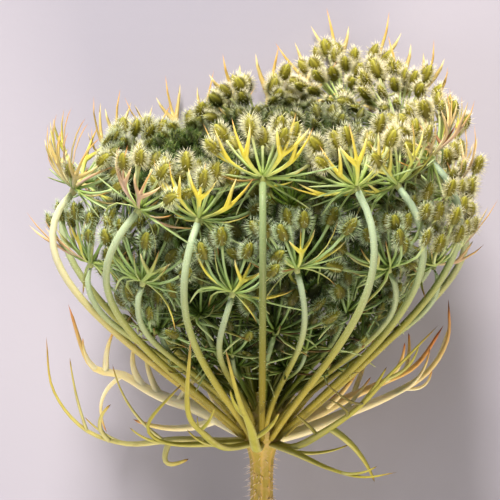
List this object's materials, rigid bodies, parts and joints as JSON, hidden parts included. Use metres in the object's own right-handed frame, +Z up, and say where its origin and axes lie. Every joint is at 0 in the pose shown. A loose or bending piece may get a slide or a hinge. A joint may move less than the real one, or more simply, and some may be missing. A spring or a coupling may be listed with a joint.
{
  "type": "queen anne's lace seed head",
  "caption": "Cut wild carrot head in seed, laid on its side: ribbed stem, fringe of thread-lobed bracts and a bird's-nest umbel of curved rays with small umbels of bristly fruits.",
  "frame": {"origin": "middle of the laid flower's box, on the surface that it lies on", "axes": "+Z up, +Y from the cut end of the stem towards the head, +X to the right seen from above with the head away"},
  "size_m": [0.0648, 0.126, 0.0608],
  "materials": {
    "stem": "satin",
    "bract": "satin",
    "umbellet_rim": "satin",
    "umbellet_middle": "satin",
    "umbellet_lower": "satin",
    "umbellet_inner": "satin"
  },
  "bodies": {
    "root": {"peduncle": "stem", "bract_01": "bract", "bract_02": "bract", "bract_03": "bract", "bract_04": "bract", "bract_05": "bract", "bract_06": "bract", "bract_07": "bract", "bract_08": "bract", "bract_09": "bract", "bract_10": "bract", "bract_11": "bract", "umbellet_01": "umbellet_rim", "umbellet_02": "umbellet_rim", "umbellet_03": "umbellet_rim", "umbellet_04": "umbellet_rim", "umbellet_05": "umbellet_rim", "umbellet_06": "umbellet_rim", "umbellet_07": "umbellet_rim", "umbellet_08": "umbellet_rim", "umbellet_09": "umbellet_rim", "umbellet_10": "umbellet_rim", "umbellet_11": "umbellet_rim", "umbellet_12": "umbellet_rim", "umbellet_13": "umbellet_rim", "umbellet_14": "umbellet_rim", "umbellet_15": "umbellet_rim", "umbellet_16": "umbellet_middle", "umbellet_17": "umbellet_middle", "umbellet_18": "umbellet_middle", "umbellet_19": "umbellet_middle", "umbellet_20": "umbellet_middle", "umbellet_21": "umbellet_middle", "umbellet_22": "umbellet_middle", "umbellet_23": "umbellet_middle", "umbellet_24": "umbellet_middle", "umbellet_25": "umbellet_middle", "umbellet_26": "umbellet_middle", "umbellet_27": "umbellet_middle", "umbellet_28": "umbellet_lower", "umbellet_29": "umbellet_lower", "umbellet_30": "umbellet_lower", "umbellet_31": "umbellet_lower", "umbellet_32": "umbellet_lower", "umbellet_33": "umbellet_lower", "umbellet_34": "umbellet_lower", "umbellet_35": "umbellet_lower", "umbellet_36": "umbellet_lower", "umbellet_37": "umbellet_inner", "umbellet_38": "umbellet_inner", "umbellet_39": "umbellet_inner", "umbellet_40": "umbellet_inner", "umbellet_41": "umbellet_inner", "umbellet_42": "umbellet_inner", "umbellet_43": "umbellet_inner", "umbellet_44": "umbellet_inner", "umbellet_45": "umbellet_inner"}
  },
  "joints": []
}
